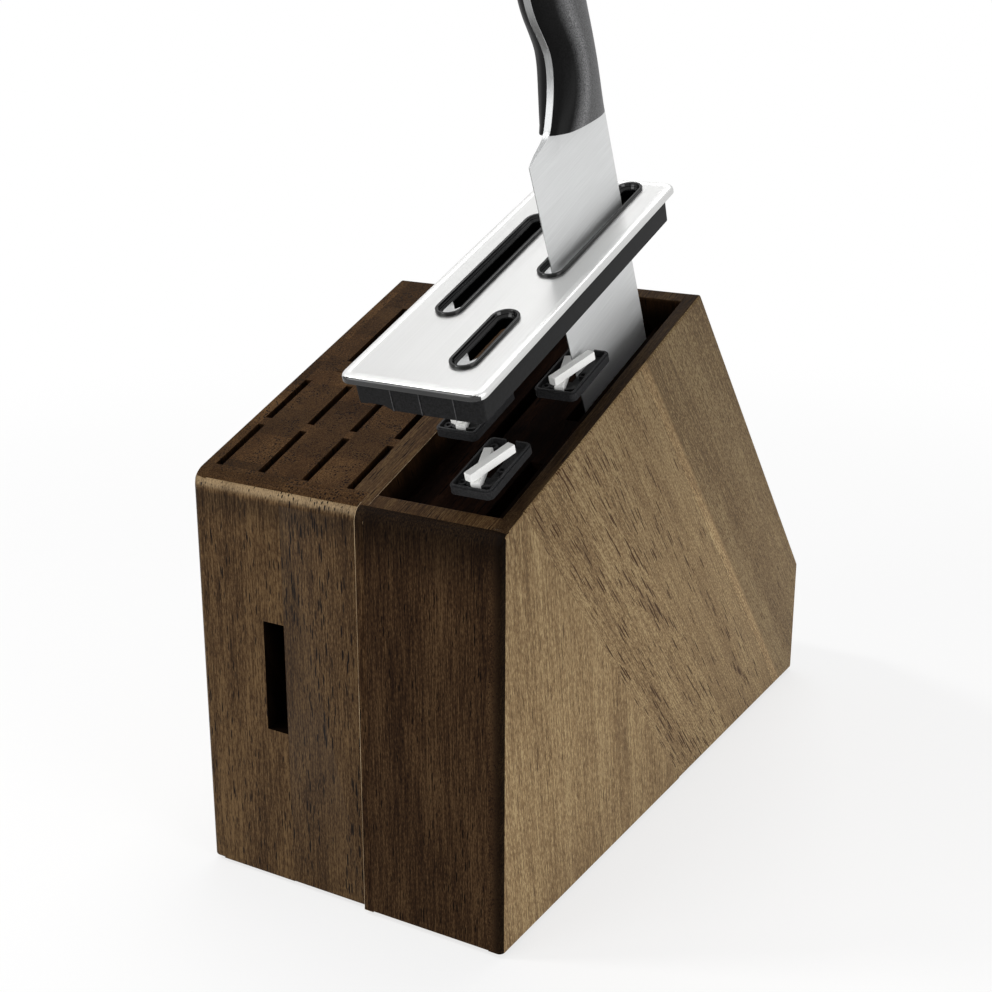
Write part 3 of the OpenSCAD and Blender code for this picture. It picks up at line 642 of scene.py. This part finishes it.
# Outlines, anticlockwise from the right: the plate's, and a slot's grown by so many millimetres
def roundRect(width, length, radius, inset):
    steps = cartridge["cornerSteps"]
    reach = max(radius - inset, cartridge["leastRadius"])
    w, low, high = width / 2 - inset - reach, inset + reach, length - inset - reach
    corners = ((w, low, -90), (w, high, 0), (-w, high, 90), (-w, low, 180))
    return [(x + reach * math.cos(math.radians(start + 90 * k / steps)),
             y + reach * math.sin(math.radians(start + 90 * k / steps)))
            for x, y, start in corners for k in range(steps + 1)]


def slotLoop(index, grow):
    steps = cartridge["endSteps"]
    x = cartridge["columns"][index]
    low = cartridge["slotStarts"][index] + cartridge["slotWidth"] / 2
    high = low + cartridge["slotLengths"][index] - cartridge["slotWidth"]
    reach = cartridge["slotWidth"] / 2 + grow
    return [(x + reach * math.cos(math.radians(start + 180 * k / steps)),
             y + reach * math.sin(math.radians(start + 180 * k / steps)))
            for y, start in ((high, 0), (low, 180)) for k in range(steps + 1)]


def addLoop(bm, points, height):
    return [bm.verts.new(inCartridge(x, y, height)) for x, y in points]


def bridge(bm, lower, upper, material=0):
    count = len(lower)
    for k in range(count):
        face = bm.faces.new((lower[k], lower[(k + 1) % count], upper[(k + 1) % count], upper[k]))
        face.material_index = material


def fillLoops(bm, loops):
    edges = []
    for loop in loops:
        for k in range(len(loop)):
            pair = (loop[k], loop[(k + 1) % len(loop)])
            edges.append(bm.edges.get(pair) or bm.edges.new(pair))
    bmesh.ops.triangle_fill(bm, use_beauty=True, use_dissolve=False, edges=edges)


# Plate: sheet with a rolled rim around a panel that lies a touch lower
plate = {
    "width": 52.5, "length": 146.5, "corner": 4.5, "sheet": 1.0,
    "rimHeight": 2.4, "rimRadius": 1.5, "arcSteps": 8,
    "crown": 0.8,           # flat width on top of the rolled rim
    "dip": 0.1,             # depth of the panel below the rim
    "fall": ((0, 0), (0.3, 0.2), (0.7, 0.9), (1.0, 1.0)),   # from the crown in: way and share of the dip
    "shadedSteps": 6,         # steps of the rolled edge, from its foot up, drawn in dark steel as painted shade
    "endFacing": 0.6,       # only the plate's ends have them, its long sides stay bright
    "slotGrow": 1.0,
    "smoothAngle": 25,      # degrees: sharper folds show as an edge
}


def addPlate():
    bm = bmesh.new()
    radius, top = plate["rimRadius"], plate["rimHeight"]
    turns = [math.radians(90 * k / plate["arcSteps"]) for k in range(plate["arcSteps"] + 1)]
    arc = [(radius * (1 - math.cos(turn)), top - radius * (1 - math.sin(turn))) for turn in turns]
    fall = [(radius + plate["crown"] + run, top - share * plate["dip"]) for run, share in plate["fall"]]
    profile = [(0, 0)] + arc + fall
    size = (plate["width"], plate["length"], plate["corner"])
    rings = [addLoop(bm, roundRect(*size, inset), height) for inset, height in profile]
    for k, (lower, upper) in enumerate(zip(rings, rings[1:])):
        bridge(bm, lower, upper, 1 if k < plate["shadedSteps"] else 2)
    bm.normal_update()
    for face in bm.faces:
        if abs(face.normal.dot(climb)) < plate["endFacing"]:
            face.material_index = 2
    under = top - plate["sheet"]
    tops = [addLoop(bm, slotLoop(k, plate["slotGrow"]), top - plate["dip"]) for k in range(slotCount)]
    fillLoops(bm, [rings[-1]] + tops)
    ceiling = addLoop(bm, roundRect(*size, plate["sheet"]), under)
    skirt = addLoop(bm, roundRect(*size, plate["sheet"]), 0)
    bottoms = [addLoop(bm, slotLoop(k, plate["slotGrow"]), under) for k in range(slotCount)]
    fillLoops(bm, [ceiling] + bottoms)
    bridge(bm, ceiling, skirt)
    bridge(bm, skirt, rings[0])
    for upper, lower in zip(tops, bottoms):
        bridge(bm, upper, lower)
    bmesh.ops.recalc_face_normals(bm, faces=bm.faces)
    steel = [finish[name] for name in ("brushedSteelPlate", "shadedSteelEdge", "polishedSteelRim")]
    addObject("steel_plate", bm, steel, "cartridge", ["face_plate"],
              plate["smoothAngle"])


addPlate()

# A low ring around each slot, a funnel inside it, and a throat that hides what lies under the plate; the
# throat's dull black stands in for the shade deep in the slot
bezel = {
    "width": 2.3, "height": 1.0, "fillet": 0.3, "lip": 1.25,
    "filletTurns": (0, 22, 45, 68, 90),
    "funnel": ((0.5, -0.75), (0.1, -1.1), (-0.03, -1.5)),   # outside the slot and above the ring's top
    "throatDepth": 4.9, "throatWall": 0.75, "smoothAngle": 35,
}


def addBezel(index):
    bm = bmesh.new()
    width, height, fillet = bezel["width"], bezel["height"], bezel["fillet"]
    turns = [math.radians(turn) for turn in bezel["filletTurns"]]
    ring = [(width - fillet + fillet * math.cos(a), height - fillet + fillet * math.sin(a)) for a in turns]
    ring += [(bezel["lip"] + fillet - fillet * math.sin(a), height - fillet + fillet * math.cos(a))
             for a in turns]
    gloss = [(width, -plate["dip"])] + ring + list(bezel["funnel"])
    throat = [(bezel["funnel"][-1][0], -bezel["throatDepth"]), (bezel["throatWall"], -bezel["throatDepth"]),
              (bezel["throatWall"], -plate["dip"])]
    rings = [addLoop(bm, slotLoop(index, grow), plate["rimHeight"] + up) for grow, up in gloss + throat]
    for k, (lower, upper) in enumerate(zip(rings, rings[1:] + rings[:1])):
        bridge(bm, lower, upper, 0 if k < len(gloss) - 1 else 1)
    bmesh.ops.recalc_face_normals(bm, faces=bm.faces)
    name = slotNames[index] + "_bezel"
    plastic = [finish["glossBlackAbs"], finish["dullBlackAbs"]]
    addObject(name + "_ring", bm, plastic, "cartridge", [name], bezel["smoothAngle"])


for k in range(slotCount):
    addBezel(k)


# Guides: scooped ramps at the front of the slots that run down to a V, where the edge is drawn through
guide = {
    "length": 8.4, "notch": 5.0, "top": 1.5, "scoop": 0.7, "depth": 2.6, "steps": 16, "play": 0.08,
    "sweep": 135,                       # degrees either way from the front: past 90 it runs along the sides
    "sideWall": 0.15, "overrun": 0.1,
}


def addGuide(index):
    bm = bmesh.new()
    reach = cartridge["slotWidth"] / 2 - guide["play"]
    x0, y0 = cartridge["columns"][index], cartridge["slotStarts"][index] + guide["play"]
    count = guide["steps"]
    sections = []
    for k in range(count + 1):
        along = 2 * k / count - 1               # from the left end of the notch to the right one
        turn = guide["sweep"] * along
        if abs(turn) <= 90:
            outX, outY = reach * math.sin(math.radians(turn)), reach * (1 - math.cos(math.radians(turn)))
        else:
            past = (abs(turn) - 90) / (guide["sweep"] - 90)
            outX, outY = math.copysign(reach, turn), reach + past * (guide["length"] - reach)
        inX = along * (reach - guide["sideWall"])
        inY = guide["notch"] + abs(along) * (guide["length"] - guide["notch"] + guide["overrun"])
        sections.append([bm.verts.new(inCartridge(x0 + x, y0 + y, z)) for x, y, z in (
            (outX, outY, guide["top"]), (inX, inY, guide["top"] - guide["scoop"]),
            (inX, inY, guide["top"] - guide["depth"]), (outX, outY, guide["top"] - guide["depth"]))])
    for left, right in zip(sections, sections[1:]):
        bridge(bm, left, right)
    bm.faces.new(sections[0])
    bm.faces.new(sections[-1])
    bmesh.ops.recalc_face_normals(bm, faces=bm.faces)
    name = slotNames[index] + "_guide"
    addObject(name + "_ramp", bm, [finish["greyAbsGuide"]], "cartridge", [name])


for k in range(slotCount):
    addGuide(k)


# Base: three thin moulded lines on its front are drawn pale grey
base = {
    "eased": 0.2, "bevelSteps": 2,
    "lineFacing": 0.9995, "lineWidth": 0.0005, "lineArea": 2e-6,     # what tells a line from the rest
}


def addBase():
    bm = cleanCopy("cartridge_base")
    for face in bm.faces:
        run = [v.co.x for v in face.verts]
        isThin = max(run) - min(run) < base["lineWidth"] and face.calc_area() > base["lineArea"]
        isFront = face.normal.dot(climb) < -base["lineFacing"]
        face.material_index = 1 if isThin and isFront else 0
    plastic = [finish["blackAbsBase"], finish["paleAbsLine"]]
    made = addObject("cartridge_base_eased", bm, plastic, "cartridge", ["cartridge_base"])
    addBevel(made, base["eased"], "ANGLE", base["bevelSteps"])


addBase()

# Small parts keep the shape of their solids, with eased edges in millimetres
smallParts = {
    "tray": {"slot": "tray", "finish": "blackAbsTray", "eased": 0.18},
    "stick_low": {"slot": "ceramic", "finish": "sinteredAlumina", "eased": 0.3},
    "stick_high": {"slot": "ceramic", "finish": "sinteredAlumina", "eased": 0.3},
    "feet": {"slot": "feet", "finish": "blackRubberFoot", "eased": 0.3},
}


def dressPart(name, body, part):
    made = addObject(name + "_eased", cleanCopy(name), [finish[part["finish"]]], body, [name])
    addBevel(made, part["eased"], "ANGLE", base["bevelSteps"])


for slotName in slotNames:
    for kind in ("tray", "stick_low", "stick_high"):
        dressPart(slotName + "_" + kind, slotName + "_sharpener", smallParts[kind])
dressPart("feet", "block", smallParts["feet"])
print("cartridge and sharpeners dressed")

# Knife frame: origin at the heel of the edge, y from the edge to the spine, z up the handle
knife = {
    "x": 108.85, "u": 80.472, "n": 85.9,
    "bladeWidth": 52.5, "edge": 0.3, "spine": 2.2, "tang": 2.4,
    "flatFacing": 0.5,                  # faces that look this much sideways are the ground flats
}
# Handle scales: rings around the scale, from its foot by the blade to its butt
grip = {
    "length": 118.0, "thickness": 6.6, "foot": 3.8, "slant": 0.298, "crown": 0.8,
    "inside": 0.15, "buttGap": 0.4,     # kept clear of the tang's outline and of the butt
    "rings": 90, "crowding": 0.12,      # closer rings at both ends
    "swell": 0.07, "swellLength": 80, "swellFrom": 10,
    "rounding": 26, "roundSteps": 4, "footRound": 1.2, "buttRound": 0.6,
    "bellySteps": 3, "aroundSteps": 4, "smoothAngle": 40,
    # y and z down the belly
    "belly": ((0, 0), (4.9, 1.6), (13.4, 3.6), (17.6, 8.2), (21.4, 14.4), (23.8, 20.8), (24.3, 27),
              (22.4, 33.5), (20.1, 39.9), (19, 46.5), (19.3, 56), (21.6, 68), (23.6, 80), (23.6, 92),
              (20.6, 103), (16.2, 112), (14, 118)),
    # Share of the thickness, and place from belly to spine
    "section": ((0, 0.004), (0.35, 0.03), (0.68, 0.085), (0.9, 0.14), (1, 0.21), (1, 0.3), (0.95, 0.43),
                (0.85, 0.56), (0.72, 0.69), (0.56, 0.8), (0.38, 0.88), (0.18, 0.95), (0, 0.995)),
}


def inKnife(x, y, z):
    return onSlope(knife["x"] + x, knife["u"] + y * math.cos(lean) - z * math.sin(lean),
                   knife["n"] + y * math.sin(lean) + z * math.cos(lean))


# Catmull-Rom line through the points
def smoothLine(points, steps):
    line = []
    for k in range(len(points) - 1):
        a, b, c, d = [points[min(max(k + j, 0), len(points) - 1)] for j in (-1, 0, 1, 2)]
        for s in range(steps):
            t = s / steps
            line.append([0.5 * (2 * b[j] + (c[j] - a[j]) * t
                                + (2 * a[j] - 5 * b[j] + 4 * c[j] - d[j]) * t * t
                                + (3 * b[j] - a[j] - 3 * c[j] + d[j]) * t ** 3) for j in (0, 1)])
    return line + [list(points[-1])]


bellyLine = smoothLine(grip["belly"], grip["bellySteps"])


def bellyAt(z):
    for (y0, z0), (y1, z1) in zip(bellyLine, bellyLine[1:]):
        if z <= z1:
            return y0 + (y1 - y0) * (z - z0) / max(z1 - z0, 0.001)
    return bellyLine[-1][0]


# One ring at a share f of the scale's length
def scaleSection(f, around):
    endZ = grip["belly"][-1][1]
    step = f + grip["crowding"] * math.sin(math.tau * f) / 3
    z = grip["foot"] + (grip["length"] - grip["foot"] - grip["buttGap"]) * step
    low = bellyAt(z * endZ / grip["length"]) + grip["inside"]
    high = knife["bladeWidth"] + grip["crown"] * math.sin(math.pi * z / endZ) - grip["inside"]
    slant = grip["slant"] * (1 - min(1, 2 * f)) ** 1.5
    thick = grip["thickness"] * (1 - grip["swell"] + grip["swell"] * math.cos(
        math.tau * (z - grip["swellFrom"]) / grip["swellLength"]))
    for way, early in ((f, grip["footRound"]), (1 - f, grip["buttRound"])):
        rise = min(1, (grip["rounding"] * way + early) / grip["roundSteps"])
        thick *= math.sqrt(1 - (1 - rise) ** 2)
    places = [(share, low + place * (high - low)) for share, place in around]
    return [(knife["tang"] / 2 + share * thick, y, z - slant * (y - low)) for share, y in places]


def addScale(name, side):
    bm = bmesh.new()
    around = smoothLine(grip["section"], grip["aroundSteps"])
    around = [(min(max(share, 0), 1), place) for share, place in around]
    rings = [[bm.verts.new(inKnife(side * x, y, z)) for x, y, z in scaleSection(k / grip["rings"], around)]
             for k in range(grip["rings"] + 1)]
    for lower, upper in zip(rings, rings[1:]):
        bridge(bm, lower, upper)
    bm.faces.new(rings[0])
    bm.faces.new(rings[-1])
    bmesh.ops.recalc_face_normals(bm, faces=bm.faces)
    made = addObject(name + "_grip", bm, [finish["blackAcetalHandle"]], "knife", [name],
                     grip["smoothAngle"])
    places = made.data.attributes.new("gripPlace", "FLOAT", "POINT")
    for k in range(len(made.data.vertices)):
        places.data[k].value = around[k % len(around)][1]       # 0 at the belly, 1 at the spine


def addKnifeSteel(name, bm):
    for face in bm.faces:
        face.material_index = 0 if abs(face.normal.x) > knife["flatFacing"] else 1
    steel = [finish["satinSteelBlade"], finish["satinSteelTang"]]
    addObject(name, bm, steel, "knife", ["blade"])


# The choil: the thick tang runs out into the thin edge at the heel
choil = {
    "top": 13,                  # its end lies hidden between the scales
    "fullAt": 5,                # where the tang reaches its whole thickness
    "edge": 0.32, "growth": 1.1,
    "run": 2, "runGrowth": 9, "runAlong": (0.35, -0.94),    # how far the ramp reaches into the blade
    "tuck": 0.02, "bodyTuck": 0.03,
}


def addChoil():
    bm = bmesh.new()
    path = [(y, z) for y, z in bellyLine if z <= choil["top"]]
    full = sum(z <= choil["fullAt"] for y, z in path) - 1
    taper = (knife["spine"] - knife["edge"]) / knife["bladeWidth"]
    rings = []
    for k, (y, z) in enumerate(path):
        share = min(1, k / full)
        y += choil["tuck"] if k > full else 0
        half = (choil["edge"] + (knife["tang"] - choil["edge"]) * share ** choil["growth"]) / 2
        run = choil["run"] + choil["runGrowth"] * share
        inY, inZ = y + choil["runAlong"][0] * run, z + choil["runAlong"][1] * run
        body = (knife["edge"] + taper * inY) / 2 - choil["bodyTuck"]
        rings.append([bm.verts.new(inKnife(*place)) for place in (
            (-half, y, z), (half, y, z), (body, inY, inZ), (-body, inY, inZ))])
    for lower, upper in zip(rings, rings[1:]):
        bridge(bm, lower, upper)
    bm.faces.new(rings[0])
    bm.faces.new(rings[-1])
    bmesh.ops.recalc_face_normals(bm, faces=bm.faces)
    addKnifeSteel("blade_choil", bm)


addKnifeSteel("ground_blade", cleanCopy("blade"))
addChoil()
addScale("handle_scale_right", 1)
addScale("handle_scale_left", -1)
print("knife dressed")

# Pale floor and white surroundings: what the camera and reflections see is white, what lights is soft
studio = {
    "floorShade": "#f4f4f4", "floorReach": 4.0,
    "floorGlow": 0.72, "fadeFrom": 0.25, "fadeTo": 0.8,     # the floor fades to white, metres from the block
    "skyShade": "#ffffff", "skyLight": 0.35,
    "lampAim": (0, 0, 0.12),
    # Place and size in metres, power in watts
    "lamps": {
        "rightSoftbox": ((1.3, -0.35, 0.25), (0.8, 0.8), 10),
        "frontSoftbox": ((-0.6, -1.3, 0.6), (0.8, 0.7), 7),
        "topSoftbox": ((-0.1, 0.3, 1.4), (0.7, 0.7), 7),
        "edgeSpot": ((-0.64, -0.5, 1.12), (0.16, 0.16), 5),     # glints on rounded edges and gloss plastic
    },
}


# 1 for what the camera, reflections and glass see, 0 for what lights the object
def seenDirectly(tree):
    path = addNode(tree, "LightPath").outputs
    seen = path["Is Camera Ray"]
    for ray in ("Is Glossy Ray", "Is Transmission Ray"):
        seen = addNode(tree, "Math", {0: seen, 1: path[ray]}, operation="MAXIMUM").outputs[0]
    return seen


# Matt painted floor: pale, so that it shows the block's soft shadow
def addFloor():
    material = bpy.data.materials.new("paleStudioFloor")
    material.use_nodes = True
    tree = material.node_tree
    tree.nodes.clear()
    paint = addNode(tree, "BsdfDiffuse", {"Color": hexColour(studio["floorShade"])}).outputs[0]
    white = addNode(tree, "Emission", {"Color": hexColour(studio["skyShade"]), "Strength": 1.0}).outputs[0]
    point = addNode(tree, "TexCoord").outputs["Object"]
    away = addNode(tree, "VectorMath", {0: point}, operation="LENGTH").outputs["Value"]
    fade = addNode(tree, "MapRange", {0: away, 1: studio["fadeFrom"], 2: studio["fadeTo"],
                                      3: studio["floorGlow"], 4: 1.0},
                   interpolation_type="SMOOTHSTEP").outputs[0]
    share = addNode(tree, "Math", {0: fade, 1: seenDirectly(tree)}, operation="MULTIPLY").outputs[0]
    mixed = addNode(tree, "MixShader", {0: share, 1: paint, 2: white}).outputs[0]
    addNode(tree, "OutputMaterial", {"Surface": mixed})
    mesh = bpy.data.meshes.new("studio_floor")
    reach = studio["floorReach"]
    corners = [(-reach, -reach, 0), (reach, -reach, 0), (reach, reach, 0), (-reach, reach, 0)]
    mesh.from_pydata(corners, [], [(0, 1, 2, 3)])
    mesh.materials.append(material)
    floor = bpy.data.objects.new("studio_floor", mesh)
    bpy.context.collection.objects.link(floor)


def addWorld():
    world = bpy.data.worlds.new("whiteStudio")
    world.use_nodes = True
    tree = world.node_tree
    tree.nodes.clear()
    strength = addNode(tree, "MapRange", {0: seenDirectly(tree), 3: studio["skyLight"], 4: 1.0}).outputs[0]
    sky = addNode(tree, "Background", {"Color": hexColour(studio["skyShade"]), "Strength": strength})
    addNode(tree, "OutputWorld", {"Surface": sky.outputs[0]})
    bpy.context.scene.world = world


def addLamp(name, place, size, power):
    lamp = bpy.data.lights.new(name, "AREA")
    lamp.shape = "RECTANGLE"
    lamp.size, lamp.size_y = size
    lamp.energy = power
    made = bpy.data.objects.new(name, lamp)
    made.location = place
    toward = Vector(studio["lampAim"]) - Vector(place)
    made.rotation_euler = toward.to_track_quat("-Z", "Y").to_euler()
    bpy.context.collection.objects.link(made)


addFloor()
addWorld()
for name, (place, size, power) in studio["lamps"].items():
    addLamp(name, place, size, power)

# Camera: it looks at a point of the block, from a turn to its right and from above
view = {
    "target": (53.492, 121.662, 117.912),       # millimetres
    "turn": math.radians(30.249),
    "height": math.radians(18.015),
    "roll": math.radians(0.072),
    "distance": 0.64082, "nearest": 0.01,        # metres
    "lens": 58.053, "sensor": 36,
}


def addCamera():
    target = toModel(*view["target"])
    back = Vector((math.sin(view["turn"]) * math.cos(view["height"]),
                   -math.cos(view["turn"]) * math.cos(view["height"]), math.sin(view["height"])))
    camera = bpy.data.cameras.new("productCamera")
    camera.lens = view["lens"]
    camera.sensor_width = view["sensor"]
    camera.clip_start = view["nearest"]
    made = bpy.data.objects.new("productCamera", camera)
    turn = (-back).to_track_quat("-Z", "Y").to_matrix().to_4x4() @ Matrix.Rotation(view["roll"], 4, "Z")
    made.matrix_world = Matrix.Translation(target + back * view["distance"]) @ turn
    bpy.context.collection.objects.link(made)
    bpy.context.scene.camera = made


addCamera()
bpy.context.scene.view_settings.view_transform = "Standard"
print("studio ready")
